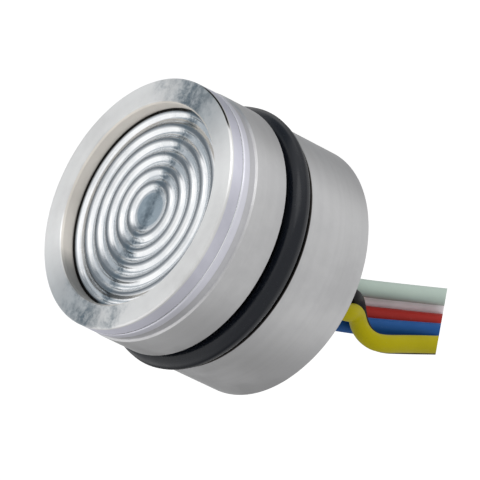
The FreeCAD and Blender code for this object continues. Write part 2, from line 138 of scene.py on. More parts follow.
# Shares of a radius: how full a strand fills its place, what a snip leaves as crumbs, and the broken edge
STRAND_FILL = 0.94
CRUMB = 0.07
BROKEN_EDGE = 0.06

# Copper traces on the board's rear face, as x and z in millimetres
BOARD_TRACES = (
    ((3.11, 3.11), (3.9, 2.2)),
    ((4.4, 0.0), (5.2, 0.0), (5.8, 0.9)),
    ((3.11, -3.11), (2.7, -1.6)),
    ((0.0, -4.4), (1.3, -3.2), (1.3, -1.2)),
    ((-1.4, 1.75), (0.0, 1.75), (0.7, 0.7)),
    ((-1.4, 0.5), (-0.8, 0.2), (-0.1, -0.7)),
    ((-3.11, 3.11), (-2.8, 2.6), (-2.8, 1.75)),
    ((-4.4, 0.0), (-3.6, 0.5), (-2.8, 0.5)),
    ((-4.4, 0.0), (-5.1, 0.9), (-5.9, 0.9)),
    ((-3.11, -3.11), (-2.6, -2.4), (-2.6, -1.65)),
    ((-3.11, -3.11), (-2.6, -2.6), (-2.3, -2.6)),
    ((-0.9, -2.6), (-0.1, -1.8), (-0.1, -0.7)),
    ((-2.6, -0.25), (-2.8, 0.5)),
    ((-5.9, 2.3), (-4.7, 4.1), (-3.4, 5.6), (-2.7, 5.6)),
    ((-1.3, 5.6), (1.5, 5.6)),
    ((0.0, 4.4), (-0.6, 5.1), (-1.3, 5.6)),
    ((2.9, 5.6), (3.7, 4.8), (3.11, 3.11)),
    ((-5.9, -0.9), (-5.1, -0.9), (-4.4, 0.0)),
    ((-5.9, -2.3), (-5.1, -3.11), (-3.11, -3.11)),
    ((0.0, -4.4), (1.6, -5.9), (3.11, -5.0), (3.11, -3.11)),
)

# Slanted plane in which all leads are snipped
SNIP_TURN = math.radians(37.2)
SNIP_TILT = math.radians(24.5)
SNIP_POINT = Vector((0.0, 20.2 * MM, 0.0))
SNIP_NORMAL = Vector((
    math.cos(SNIP_TILT) * math.sin(SNIP_TURN),
    math.cos(SNIP_TILT) * math.cos(SNIP_TURN),
    math.sin(SNIP_TILT),
))

# Studio that the metal mirrors. A place is the X of a direction for the sides, its Y for front and
# rear and its Z for up and down, and a pair says where something fades in or out.
GAP_SIDE = -0.764
GAP_FADE = 0.09
FRONT_PART = (0.0, 0.3)
REAR_PART = (0.1, 0.5)
CEILING_HEIGHT = (0.3, 0.6)
CEILING_HALF = (0.16, 0.36)
BOX_FAR_SIDE = (0.2, 0.6)
REAR_FOOT = (-0.9, -0.1)
REAR_NEAR_SIDE = (-0.55, -0.1)
REAR_TOP = (0.4, 0.9)

# Camera of the photo, as azimuth, elevation and roll about the aim point
CAMERA_AZIMUTH = math.radians(50.90)
CAMERA_ELEVATION = math.radians(10.00)
CAMERA_ROLL = math.radians(34.59)
CAMERA_AIM = Vector((-0.73, -0.68, 0.77)) * MM
CAMERA_DISTANCE = 357.97 * MM
CAMERA_LENS = 375.0
CAMERA_SENSOR = 36.0


class CapsuleSteel(PropertyGroup):
    """Sizes and colours of the turned parts and the foil."""
    steps: IntProperty(
        name="Steps", description="Flats round each turned part", default=256, min=48, max=512)
    edge_radius: FloatProperty(
        name="Edge radius", description="Small rounding left on every turned edge",
        default=0.035 * MM, unit="LENGTH", precision=6)
    body_colour: FloatVectorProperty(
        name="Body", description="Colour of the turned body", subtype="COLOR", default=(0.60, 0.60, 0.605))
    ring_colour: FloatVectorProperty(
        name="Ring", description="Colour of the weld ring", subtype="COLOR", default=(0.82, 0.82, 0.815))
    tint_colour: FloatVectorProperty(
        name="Weld tint", description="Colour that the weld's heat left on the ring", subtype="COLOR",
        default=(0.68, 0.68, 0.76))
    bead_colour: FloatVectorProperty(
        name="Weld bead", description="Colour of the weld bead", subtype="COLOR", default=(0.76, 0.76, 0.83))
    seam_colour: FloatVectorProperty(
        name="Weld seam", description="Colour of the relief beside the weld", subtype="COLOR",
        default=(0.60, 0.60, 0.62))
    # Painted shade: a near-black colour put where shade falls in the groove, at the foot of the ring's wall
    # and on the ring's front edge.
    shade_colour: FloatVectorProperty(
        name="Painted shade", description="Painted shade in the groove, at the foot of the ring's wall and on the ring's front edge",
        subtype="COLOR", default=(0.02, 0.018, 0.016))
    wall_colour: FloatVectorProperty(
        name="Ring wall", description="Warm colour of the ring's inner wall", subtype="COLOR",
        default=(0.90, 0.85, 0.78))
    # Painted reflection: blue-grey of the dark strip painted across the ring's front face and the foil.
    reflection_strip_colour: FloatVectorProperty(
        name="Reflection strip", description="Blue-grey painted reflection strip on the front face", subtype="COLOR",
        default=(0.19, 0.235, 0.27))
    reflection_strip_lean: FloatProperty(
        name="Strip lean", description="Sideways lean of the painted reflection strip per height", default=0.26)
    foil_colour: FloatVectorProperty(
        name="Foil", description="Colour of the bright pressed foil", subtype="COLOR",
        default=(0.85, 0.86, 0.87))
    # Painted reflection: the crests are painted dark and the flat middle grey-blue, so the foil's bright
    # bands fall between the crests.
    crest_reflection_colour: FloatVectorProperty(
        name="Foil crests", description="Painted dark reflection on the foil's crests", subtype="COLOR",
        default=(0.27, 0.29, 0.31))
    disc_reflection_colour: FloatVectorProperty(
        name="Foil disc", description="Painted grey-blue reflection on the foil's flat middle", subtype="COLOR",
        default=(0.52, 0.59, 0.64))


class CapsuleSeal(PropertyGroup):
    """Sizes and colour of the seal ring."""
    flash: FloatProperty(
        name="Mould line", description="How far the mould line stands proud",
        default=0.02 * MM, unit="LENGTH", precision=6)
    colour: FloatVectorProperty(
        name="Rubber", description="Colour of the seal ring", subtype="COLOR", default=(0.006, 0.008, 0.013))


class CapsuleLeads(PropertyGroup):
    """Sizes and colours of the flying leads."""
    radius: FloatProperty(
        name="Lead radius", description="Outer radius of the insulation", default=0.65 * MM, unit="LENGTH",
        precision=5)
    bore: FloatProperty(
        name="Bore", description="Radius of the hole that the strands fill", default=STRANDS_RADIUS,
        unit="LENGTH", precision=5)
    strand: FloatProperty(
        name="Strand", description="Radius of one strand", default=0.1 * MM, unit="LENGTH", precision=5)
    lay_length: FloatProperty(
        name="Lay", description="Length in which the strands turn once", default=9.0 * MM, unit="LENGTH",
        precision=4)
    grey: FloatVectorProperty(
        name="Grey", description="Grey-green lead", subtype="COLOR", default=(0.50, 0.60, 0.54))
    white: FloatVectorProperty(
        name="White", description="White lead", subtype="COLOR", default=(0.93, 0.86, 0.90))
    red: FloatVectorProperty(
        name="Red", description="Red lead", subtype="COLOR", default=(0.38, 0.025, 0.02))
    blue: FloatVectorProperty(
        name="Blue", description="Blue lead", subtype="COLOR", default=(0.014, 0.09, 0.30))
    black: FloatVectorProperty(
        name="Black", description="Black lead", subtype="COLOR", default=(0.006, 0.005, 0.007))
    yellow: FloatVectorProperty(
        name="Yellow", description="Yellow lead", subtype="COLOR", default=(0.44, 0.38, 0.0))


class CapsuleBoard(PropertyGroup):
    """Sizes and colours of the board and what is soldered to it."""
    mask: FloatVectorProperty(
        name="Mask", description="Colour of the solder mask", subtype="COLOR", default=(0.015, 0.14, 0.05))
    copper: FloatVectorProperty(
        name="Copper", description="Colour of bare gold-plated copper", subtype="COLOR",
        default=(0.80, 0.58, 0.22))
    masked_copper: FloatVectorProperty(
        name="Masked copper", description="Colour of a trace under the mask", subtype="COLOR",
        default=(0.03, 0.22, 0.07))
    solder: FloatVectorProperty(
        name="Solder", description="Colour of the solder", subtype="COLOR", default=(0.66, 0.66, 0.68))
    glaze: FloatVectorProperty(
        name="Glaze", description="Colour of a resistor's top", subtype="COLOR", default=(0.02, 0.02, 0.022))
    pad_radius: FloatProperty(
        name="Pad radius", description="Outer radius of a solder pad", default=0.76 * MM, unit="LENGTH",
        precision=5)
    edge_radius: FloatProperty(
        name="Edge radius", description="Rounding of the resistors' edges", default=0.04 * MM,
        unit="LENGTH", precision=6)
    trace_width: FloatProperty(
        name="Trace", description="Width of a copper trace", default=0.22 * MM, unit="LENGTH", precision=5)
    trace_rise: FloatProperty(
        name="Trace rise", description="Height of a trace under the mask", default=0.03 * MM,
        unit="LENGTH", precision=6)


class CapsuleStage(PropertyGroup):
    """Floor, light and backdrop."""
    floor_drop: FloatProperty(
        name="Floor", description="How far the floor lies below the axis", default=62.0 * MM,
        unit="LENGTH")
    floor_size: FloatProperty(
        name="Floor size", description="Edge of the floor", default=8.0, unit="LENGTH")
    floor_colour: FloatVectorProperty(
        name="Floor colour", description="Pale floor", subtype="COLOR", default=(0.80, 0.80, 0.80))
    room_light: FloatProperty(
        name="Room light", description="Strength of the even light in the room", default=0.75)
    box_light: FloatProperty(
        name="Soft boxes", description="Brightness of the two soft boxes that the metal mirrors",
        default=1.15)
    rear_light: FloatProperty(
        name="Rear wall", description="Brightness of the wall behind that the metal mirrors", default=0.82)
    gap_half: FloatProperty(
        name="Gap width", description="Half width of the gap between the soft boxes, as a sine", default=0.06)
    ceiling_colour: FloatVectorProperty(
        name="Ceiling", description="Dark ceiling above the gap", subtype="COLOR", default=(0.24, 0.27, 0.30))
    gap_colour: FloatVectorProperty(
        name="Gap", description="Grey-blue gap between the soft boxes", subtype="COLOR",
        default=(0.40, 0.45, 0.49))
    key_power: FloatProperty(
        name="Key light", description="Power of the key light in watts", default=0.15)


def station(mm):
    """Y of a place that far behind the front face, given in millimetres."""
    return FRONT + mm * MM


def begin():
    """Leaves object mode with nothing selected, so that what follows works on the new piece alone."""
    if bpy.context.object and bpy.context.object.mode != "OBJECT":
        bpy.ops.object.mode_set(mode="OBJECT")
    bpy.ops.object.select_all(action="DESELECT")


def pick(piece):
    """Selects the piece alone and makes it the active one."""
    begin()
    piece.select_set(True)
    bpy.context.view_layer.objects.active = piece


def curve_piece(name, curve):
    """A mesh made out of a curve, selected alone."""
    holder = bpy.data.objects.new(name, curve)
    bpy.context.scene.collection.objects.link(holder)
    pick(holder)
    bpy.ops.object.convert(target="MESH")
    return bpy.context.object


def finish_piece(piece, name, material, replaced=(), smooth=math.radians(35)):
    """Applies the place to the mesh, smooths it, and sets the piece on the capsule."""
    pick(piece)
    bpy.ops.object.transform_apply(location=True, rotation=True, scale=True)
    bpy.ops.object.shade_smooth_by_angle(angle=smooth)
    piece.name = name
    piece.data.name = name
    piece.data.materials.clear()
    piece.data.materials.append(material)
    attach(piece, "root")
    if replaced:
        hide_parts(*replaced)


def softened(profile, radius):
    """The closed profile with each real corner turned into a small curve."""
    least_turn = math.radians(12)
    longest_share = 0.4
    steps = 3
    count = len(profile)
    points = []
    for index, corner in enumerate(profile):
        corner = Vector(corner)
        before = Vector(profile[index - 1]) - corner
        after = Vector(profile[(index + 1) % count]) - corner
        turn = math.pi - before.angle(after)
        if turn < least_turn:
            points.append(corner)
            continue
        reach = min(radius * math.tan(turn / 2), longest_share * before.length, longest_share * after.length)
        start = corner + before.normalized() * reach
        end = corner + after.normalized() * reach
        for step in range(steps + 1):
            share = step / steps
            points.append(start * (1 - share) ** 2 + corner * 2 * share * (1 - share) + end * share ** 2)
    return points


def spun(profile, steps, closed=True):
    """A piece turned about the capsule's axis from a profile of radius and y points."""
    begin()
    points = [Vector(point) for point in profile]
    if closed:
        points.append(points[0].copy())
    bpy.ops.mesh.primitive_plane_add(size=MM, location=(points[0].x, points[0].y, 0.0))
    piece = bpy.context.object
    bpy.ops.object.mode_set(mode="EDIT")
    bpy.ops.mesh.select_mode(type="VERT")
    bpy.ops.mesh.select_all(action="SELECT")
    bpy.ops.mesh.merge(type="CENTER")
    for here, there in zip(points[:-1], points[1:]):
        step = there - here
        bpy.ops.mesh.extrude_region_move(TRANSFORM_OT_translate={"value": (step.x, step.y, 0.0)})
    bpy.ops.mesh.select_all(action="SELECT")
    bpy.ops.mesh.remove_doubles(threshold=TOUCHING)
    bpy.ops.mesh.spin(steps=steps, angle=2 * math.pi, center=(0, 0, 0), axis=AXIS, use_auto_merge=True)
    bpy.ops.mesh.select_all(action="SELECT")
    bpy.ops.mesh.remove_doubles(threshold=TOUCHING)
    bpy.ops.mesh.normals_make_consistent(inside=False)
    bpy.ops.object.mode_set(mode="OBJECT")
    return piece


def wave_points(disc_y, steps):
    """Points of the pressed waves from the centre disc out to the rim, on equal arcs."""
    quarter = HALF_WAVE / 2
    rise = WAVE_HEIGHT / 2
    arc = (quarter ** 2 + rise ** 2) / (2 * rise)
    lean = math.asin(quarter / arc)
    points = []
    for index in range(HALF_WAVES + 1):
        side = 1 if index % 2 == 0 else -1
        first = 0.0 if index == 0 else -lean
        last = 0.0 if index == HALF_WAVES else lean
        count = max(1, round(steps * (last - first) / (2 * lean)))
        for step in range(count + 1):
            angle = first + (last - first) * step / count
            radius = CENTRE_DISC + index * HALF_WAVE + arc * math.sin(angle)
            depth = side * arc * (math.cos(angle) - math.cos(lean)) - rise
            if step > 0 or index == 0:
                points.append((radius * MM, disc_y + depth * MM))
    return points


def solid_boxes(node):
    """Lowest and highest corner of each separate solid of a CAD node."""
    mesh = bmesh.new()
    mesh.from_mesh(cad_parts[node].data)
    bmesh.ops.remove_doubles(mesh, verts=mesh.verts, dist=TOUCHING)
    left = set(mesh.verts)
    boxes = []
    while left:
        group = [left.pop()]
        low = group[0].co.copy()
        high = group[0].co.copy()
        while group:
            vertex = group.pop()
            low = Vector(map(min, low, vertex.co))
            high = Vector(map(max, high, vertex.co))
            for edge in vertex.link_edges:
                other = edge.other_vert(vertex)
                if other in left:
                    left.remove(other)
                    group.append(other)
        boxes.append((low, high))
    mesh.free()
    return sorted(boxes, key=lambda box: (round(box[0].x, 6), round(box[0].z, 6)))


def placed_copies(piece, places):
    """Copies the piece to each place, joins the copies and drops the first one."""
    copies = []
    for place in places:
        pick(piece)
        bpy.ops.object.duplicate()
        bpy.ops.transform.translate(value=place)
        copies.append(bpy.context.object)
    pick(piece)
    bpy.ops.object.delete()
    return joined(copies)


def joined(pieces):
    """One mesh out of several."""
    begin()
    for piece in pieces:
        piece.select_set(True)
    bpy.context.view_layer.objects.active = pieces[0]
    if len(pieces) > 1:
        bpy.ops.object.join()
    return bpy.context.object


def soft_blocks(boxes, bevel):
    """Blocks in the given boxes, with small rounded edges."""
    blocks = []
    for low, high in boxes:
        begin()
        bpy.ops.mesh.primitive_cube_add(size=1.0, location=(low + high) / 2, scale=high - low)
        blocks.append(bpy.context.object)
    piece = joined(blocks)
    bpy.ops.object.transform_apply(location=True, rotation=True, scale=True)
    bpy.ops.object.mode_set(mode="EDIT")
    bpy.ops.mesh.select_all(action="SELECT")
    bpy.ops.mesh.bevel(offset=bevel, segments=2, affect="EDGES")
    bpy.ops.object.mode_set(mode="OBJECT")
    return piece


def box_places(node):
    """Middle of each solid of a CAD node, seen along the axis."""
    return [Vector(((low.x + high.x) / 2, 0.0, (low.z + high.z) / 2)) for low, high in solid_boxes(node)]


# Shader node groups

def new_group(name, inputs, outputs):
    """An empty shader node group with its sockets, and its input and output nodes."""
    group = bpy.data.node_groups.new(name, "ShaderNodeTree")
    for label, kind, default in inputs:
        socket = group.interface.new_socket(label, in_out="INPUT", socket_type=kind)
        socket.default_value = default
    for label, kind in outputs:
        group.interface.new_socket(label, in_out="OUTPUT", socket_type=kind)
    return group, group.nodes.new("NodeGroupInput"), group.nodes.new("NodeGroupOutput")


def object_place(tree):
    """Where the surface point lies on the capsule."""
    return tree.nodes.new("ShaderNodeTexCoord").outputs["Object"]


def place_parts(tree):
    """X, Y and Z of where the surface point lies."""
    split = tree.nodes.new("ShaderNodeSeparateXYZ")
    tree.links.new(object_place(tree), split.inputs[0])
    return split.outputs


def math_node(tree, operation, first, second=None):
    """A Math node's output, with each operand a number or a socket."""
    node = tree.nodes.new("ShaderNodeMath")
    node.operation = operation
    for index, value in enumerate((first, second)):
        if value is None:
            continue
        if isinstance(value, (int, float)):
            node.inputs[index].default_value = value
        else:
            tree.links.new(value, node.inputs[index])
    return node.outputs[0]


def mapped(tree, value, low, high, out_low=0.0, out_high=1.0):
    """Map Range of a socket, clamped, with a soft start and end."""
    node = tree.nodes.new("ShaderNodeMapRange")
    node.interpolation_type = "SMOOTHSTEP"
    tree.links.new(value, node.inputs["Value"])
    node.inputs["From Min"].default_value = low
    node.inputs["From Max"].default_value = high
    node.inputs["To Min"].default_value = out_low
    node.inputs["To Max"].default_value = out_high
    return node.outputs["Result"]


def mixed(tree, factor, first, second, blend="MIX"):
    """Mix Color of two colours or sockets."""
    node = tree.nodes.new("ShaderNodeMix")
    node.data_type = "RGBA"
    node.blend_type = blend
    for label, value in (("Factor", factor), ("A", first), ("B", second)):
        socket = node.inputs[label]
        if isinstance(value, bpy.types.NodeSocket):
            tree.links.new(value, socket)
        elif isinstance(value, (int, float)):
            socket.default_value = value
        else:
            socket.default_value = (*value[:3], 1.0)
    return node.outputs["Result"]


def partly_mixed(tree, mask, share, tone, other):
    """Mixes that share of the other tone in where the mask is 1."""
    return mixed(tree, math_node(tree, "MULTIPLY", mask, share), tone, other)


def darker(colour, share):
    """The colour at a share of its brightness."""
    return [value * share for value in colour]


def noise(tree, vector, scale, detail=2.0, roughness=0.5, dimensions="3D"):
    """Noise texture output. With one dimension, vector is the number it reads."""
    node = tree.nodes.new("ShaderNodeTexNoise")
    node.noise_dimensions = dimensions
    node.inputs["Scale"].default_value = scale
    node.inputs["Detail"].default_value = detail
    node.inputs["Roughness"].default_value = roughness
    if dimensions == "1D":
        tree.links.new(vector, node.inputs["W"])
    else:
        tree.links.new(vector, node.inputs["Vector"])
    return node.outputs["Fac"]


def turned_lay_group():
    """Fine rings that a lathe leaves: they run round the axis on faces, tapers and side alike."""
    group, entry, leave = new_group(
        "turned_lay",
        (("Rings per metre", "NodeSocketFloat", 20000.0), ("Waver", "NodeSocketFloat", 0.00002)),
        (("Height", "NodeSocketFloat"), ("Streak", "NodeSocketFloat")))
    radius, depth = place_on_capsule(group)
    along = math_node(group, "ADD", radius, depth)
    chatter = math_node(group, "SUBTRACT", noise(group, object_place(group), 400.0, 1.0), 0.5)
    shift = math_node(group, "MULTIPLY", chatter, entry.outputs["Waver"])
    reading = math_node(group, "MULTIPLY", math_node(group, "ADD", along, shift),
                        entry.outputs["Rings per metre"])
    fine = noise(group, reading, 1.0, 2.0, 0.6, "1D")
    broad = noise(group, math_node(group, "MULTIPLY", reading, 0.13), 1.0, 2.0, 0.5, "1D")
    group.links.new(fine, leave.inputs["Height"])
    group.links.new(mapped(group, broad, 0.3, 0.7), leave.inputs["Streak"])
    return group


def handling_group():
    """Soft cloudy haze and small specks that handling leaves."""
    group, entry, leave = new_group(
        "handling",
        (("Cloud scale", "NodeSocketFloat", 300.0), ("Speck scale", "NodeSocketFloat", 2500.0)),
        (("Haze", "NodeSocketFloat"), ("Speck", "NodeSocketFloat")))
    place = object_place(group)
    cloud = noise(group, place, 1.0, 4.0, 0.6)
    group.links.new(entry.outputs["Cloud scale"], cloud.node.inputs["Scale"])
    speck = noise(group, place, 1.0, 2.0, 0.55)
    group.links.new(entry.outputs["Speck scale"], speck.node.inputs["Scale"])
    group.links.new(mapped(group, cloud, 0.35, 0.7), leave.inputs["Haze"])
    group.links.new(mapped(group, speck, 0.62, 0.75), leave.inputs["Speck"])
    return group


def place_on_capsule(group):
    """The surface point's radius from the axis and its place along it."""
    x, y, z = place_parts(group)
    across = math_node(group, "MULTIPLY", x, x)
    upward = math_node(group, "MULTIPLY", z, z)
    return math_node(group, "SQRT", math_node(group, "ADD", across, upward)), y


def soft_between(group, value, entry, start, end, softness):
    """1 between two sockets' values, falling to 0 outside them within the softness."""
    after = math_node(group, "SUBTRACT", value, entry.outputs[start])
    before = math_node(group, "SUBTRACT", entry.outputs[end], value)
    inside = math_node(group, "DIVIDE", math_node(group, "MINIMUM", after, before), entry.outputs[softness])
    return mapped(group, inside, 0.0, 1.0)


def band_group():
    """A soft-edged band round the capsule: between two places along the axis and between two radii."""
    group, entry, leave = new_group(
        "axial_band",
        (("Start", "NodeSocketFloat", -1.0), ("End", "NodeSocketFloat", 1.0),
         ("Inner", "NodeSocketFloat", -1.0), ("Outer", "NodeSocketFloat", 1.0),
         ("Softness", "NodeSocketFloat", 0.0001)),
        (("Mask", "NodeSocketFloat"),))
    radius, along = place_on_capsule(group)
    lengthwise = soft_between(group, along, entry, "Start", "End", "Softness")
    radial = soft_between(group, radius, entry, "Inner", "Outer", "Softness")
    group.links.new(math_node(group, "MULTIPLY", lengthwise, radial), leave.inputs["Mask"])
    return group


GROUP_MAKERS = {"turned_lay": turned_lay_group, "handling": handling_group, "axial_band": band_group}


def group_node(tree, name, **values):
    """Places a shared group in a material with its own values."""
    if name not in bpy.data.node_groups:
        GROUP_MAKERS[name]()
    node = tree.nodes.new("ShaderNodeGroup")
    node.node_tree = bpy.data.node_groups[name]
    for label, value in values.items():
        node.inputs[label.replace("_", " ")].default_value = value
    return node


# Materials

def new_material(name, colour, metallic, roughness):
    """A Principled material with its plain values set on its own sockets."""
    material = bpy.data.materials.new(name)
    material.use_nodes = True
    material.diffuse_color = (*colour[:3], 1.0)
    tree = material.node_tree
    shader = tree.nodes["Principled BSDF"]
    shader.inputs["Base Color"].default_value = (*colour[:3], 1.0)
    shader.inputs["Metallic"].default_value = metallic
    shader.inputs["Roughness"].default_value = roughness
    return material, tree, shader


def add_bump(tree, shader, height, distance):
    """Feeds a height into the shader's normal."""
    bump = tree.nodes.new("ShaderNodeBump")
    bump.inputs["Distance"].default_value = distance
    tree.links.new(height, bump.inputs["Height"])
    tree.links.new(bump.outputs["Normal"], shader.inputs["Normal"])


def add_surface(tree, shader, tone, haze, roughness, grain, detail=3.0):
    """Joins the tone, a roughness that the haze raises and a grain of some scale and depth to the shader."""
    tree.links.new(tone, shader.inputs["Base Color"])
    tree.links.new(mapped(tree, haze, 0.0, 1.0, *roughness), shader.inputs["Roughness"])
    scale, depth = grain
    add_bump(tree, shader, noise(tree, object_place(tree), scale, detail), depth)


def add_round_tangent(tree, shader, amount):
    """Stretches highlights across the lathe rings, as on a turned face."""
    cross = tree.nodes.new("ShaderNodeVectorMath")
    cross.operation = "CROSS_PRODUCT"
    cross.inputs[0].default_value = AXIS
    tree.links.new(object_place(tree), cross.inputs[1])
    unit = tree.nodes.new("ShaderNodeVectorMath")
    unit.operation = "NORMALIZE"
    tree.links.new(cross.outputs[0], unit.inputs[0])
    tree.links.new(unit.outputs[0], shader.inputs["Tangent"])
    shader.inputs["Anisotropic"].default_value = amount
    shader.inputs["Anisotropic Rotation"].default_value = 0.25


def banded(tree, tone, bands):
    """Lays bands over the tone. Each is a colour and the axial_band values that place it."""
    for tint, place in bands:
        tone = mixed(tree, group_node(tree, "axial_band", **place).outputs["Mask"], tone, tint)
    return tone


def turned_steel(name, colour, roughness, rings=14000.0, grain=0.7, bands=()):
    """Lathe-turned stainless steel, with so many rings per metre and coloured bands."""
    material, tree, shader = new_material(name, colour, 1.0, roughness)
    lay = group_node(tree, "turned_lay", Rings_per_metre=rings, Waver=0.00002)
    hands = group_node(tree, "handling", Cloud_scale=260.0, Speck_scale=2600.0)
    tone = partly_mixed(tree, lay.outputs["Streak"], 0.06, colour, darker(colour, 0.5))
    tone = banded(tree, tone, bands)
    worn = mixed(tree, 1.0, tone, (0.78, 0.78, 0.79), "MULTIPLY")
    tone = partly_mixed(tree, hands.outputs["Haze"], 0.4, tone, worn)
    tree.links.new(tone, shader.inputs["Base Color"])
    spread = math_node(tree, "MULTIPLY", hands.outputs["Haze"], 0.10)
    tree.links.new(math_node(tree, "ADD", spread, roughness), shader.inputs["Roughness"])
    add_round_tangent(tree, shader, grain)
    add_bump(tree, shader, lay.outputs["Height"], 2e-6)
    return material


def current_tone(material):
    """The material's tree, its shader, and the socket that gives its base colour so far."""
    tree = material.node_tree
    shader = tree.nodes["Principled BSDF"]
    return tree, shader, shader.inputs["Base Color"].links[0].from_socket


def add_painted_reflection_strip(material, settings, height, half_width):
    """Painted dark reflection: a leaning, mottled blue-grey strip on what lies in front of the height."""
    tree, shader, clean = current_tone(material)
    place = object_place(tree)
    x, y, z = place_parts(tree)
    lean = math_node(tree, "MULTIPLY", z, settings.reflection_strip_lean)
    aside = math_node(tree, "ABSOLUTE", math_node(tree, "ADD", x, lean))
    ragged = math_node(tree, "MULTIPLY", noise(tree, place, 420.0, 5.0, 0.7), 3.0 * half_width)
    reach = mapped(tree, math_node(tree, "ADD", aside, ragged), 1.4 * half_width, 2.6 * half_width, 1.0, 0.0)
    on_face = mapped(tree, y, height, height + 0.05 * MM, 1.0, 0.0)
    spots = mapped(tree, noise(tree, place, 2600.0, 5.0, 0.8), 0.40, 0.58, 0.50, 1.0)
    mask = math_node(tree, "MULTIPLY", math_node(tree, "MULTIPLY", reach, on_face), spots)
    tree.links.new(mixed(tree, mask, clean, settings.reflection_strip_colour), shader.inputs["Base Color"])


def add_painted_shade_line(material, settings, place, towards, low, high):
    """A painted shade line on the band, along the part of the rim that lies in the given direction."""
    tree, shader, clean = current_tone(material)
    reach = tree.nodes.new("ShaderNodeVectorMath")
    reach.operation = "DOT_PRODUCT"
    tree.links.new(object_place(tree), reach.inputs[0])
    reach.inputs[1].default_value = towards
    band = group_node(tree, "axial_band", **place)
    mask = math_node(tree, "MULTIPLY", band.outputs["Mask"], mapped(tree, reach.outputs["Value"], low, high))
    tree.links.new(mixed(tree, mask, clean, settings.shade_colour), shader.inputs["Base Color"])


def add_dull_wall_with_painted_shade(material, place):
    """Takes some of the mirror away from a bored wall, and paints shade on it, darker towards the bottom."""
    tree, shader, clean = current_tone(material)
    height = place_parts(tree)["Z"]
    band = group_node(tree, "axial_band", **place)
    # Painted shade: the lower part of the wall is darkened, most at the bottom.
    bottom = mapped(tree, height, -7.3 * MM, -5.8 * MM, 0.92, 0.0)
    lower = mapped(tree, height, -6.0 * MM, 2.0 * MM, 0.22, 0.0)
    low = math_node(tree, "MAXIMUM", bottom, lower)
    painted_shade_tone = mixed(tree, 1.0, clean, (0.22, 0.24, 0.26), "MULTIPLY")
    mask = math_node(tree, "MULTIPLY", low, band.outputs["Mask"])
    tree.links.new(mixed(tree, mask, clean, painted_shade_tone), shader.inputs["Base Color"])
    tree.links.new(mapped(tree, band.outputs["Mask"], 0.0, 1.0, 1.0, 0.35), shader.inputs["Metallic"])


def foil_steel(name, settings, front_disc):
    """Bright pressed foil, with painted reflection: dark crests and a grey-blue flat middle; and painted
    shade: a dark line at the ring's foot.
    """
    colour = settings.foil_colour
    material, tree, shader = new_material(name, colour, 1.0, 0.12)
    haze = group_node(tree, "handling", Cloud_scale=420.0, Speck_scale=3200.0).outputs["Haze"]
    wave = WAVE_HEIGHT * MM
    under_ring = 8.5 * MM
    # Painted reflection on the crests and the flat middle, and painted shade in a near-black band at the
    # ring's foot.
    crest = {"End": front_disc - 0.60 * wave, "Inner": (CENTRE_DISC + 0.1) * MM, "Outer": under_ring,
             "Softness": 0.4 * wave}
    disc = {"Outer": (CENTRE_DISC - 0.12) * MM, "Softness": 0.1 * MM}
    foot = {"Inner": 7.34 * MM, "Outer": under_ring, "Softness": 0.08 * MM}
    bands = ((settings.crest_reflection_colour, crest), (settings.disc_reflection_colour, disc), ((0.02, 0.02, 0.02), foot))
    tone = banded(tree, colour, bands)
    dull = mixed(tree, 1.0, tone, (0.66, 0.70, 0.74), "MULTIPLY")
    tone = partly_mixed(tree, haze, 0.4, tone, dull)
    add_surface(tree, shader, tone, haze, (0.17, 0.31), (900.0, 6e-6))
    return material


def rubber(name, colour):
    """Smooth moulded rubber with a soft sheen and a little dust."""
    material, tree, shader = new_material(name, colour, 0.0, 0.36)
    shader.inputs["Specular IOR Level"].default_value = 0.28
    hands = group_node(tree, "handling", Cloud_scale=500.0, Speck_scale=5200.0)
    dusty = [value + 0.02 for value in colour]
    tone = partly_mixed(tree, hands.outputs["Speck"], 0.4, colour, dusty)
    add_surface(tree, shader, tone, hands.outputs["Haze"], (0.22, 0.34), (6000.0, 2e-6), 2.0)
    return material


def silicone(name, colour):
    """Extruded silicone insulation: satin, slightly uneven in tone."""
    material, tree, shader = new_material(name, colour, 0.0, 0.42)
    shader.inputs["Specular IOR Level"].default_value = 0.12
    hands = group_node(tree, "handling", Cloud_scale=380.0, Speck_scale=4200.0)
    haze = hands.outputs["Haze"]
    tone = partly_mixed(tree, haze, 0.30, colour, darker(colour, 0.74))
    pale = [value * 0.8 + 0.12 for value in colour]
    tone = partly_mixed(tree, hands.outputs["Speck"], 0.12, tone, pale)
    add_surface(tree, shader, tone, haze, (0.36, 0.52), (3000.0, 4e-6))
    return material


def plain_metal(name, colour, roughness, cloud):
    """Small bright metal parts: solder, pins, strands and plating."""
    material, tree, shader = new_material(name, colour, 1.0, roughness)
    haze = group_node(tree, "handling", Cloud_scale=cloud, Speck_scale=cloud * 8).outputs["Haze"]
    tone = partly_mixed(tree, haze, 0.35, colour, darker(colour, 0.66))
    add_surface(tree, shader, tone, haze, (roughness, roughness + 0.12), (cloud * 6, 3e-6), 2.0)
    return material


def hard_finish(name, colour, roughness, grain, coat=0.0):
    """Board laminate, fired ceramic, glaze and the like."""
    material, tree, shader = new_material(name, colour, 0.0, roughness)
    shader.inputs["Coat Weight"].default_value = coat
    shader.inputs["Coat Roughness"].default_value = 0.12
    haze = group_node(tree, "handling", Cloud_scale=grain * 0.2, Speck_scale=grain).outputs["Haze"]
    tone = partly_mixed(tree, haze, 0.30, colour, darker(colour, 0.75))
    add_surface(tree, shader, tone, haze, (roughness, roughness + 0.1), (grain, 3e-6))
    return material


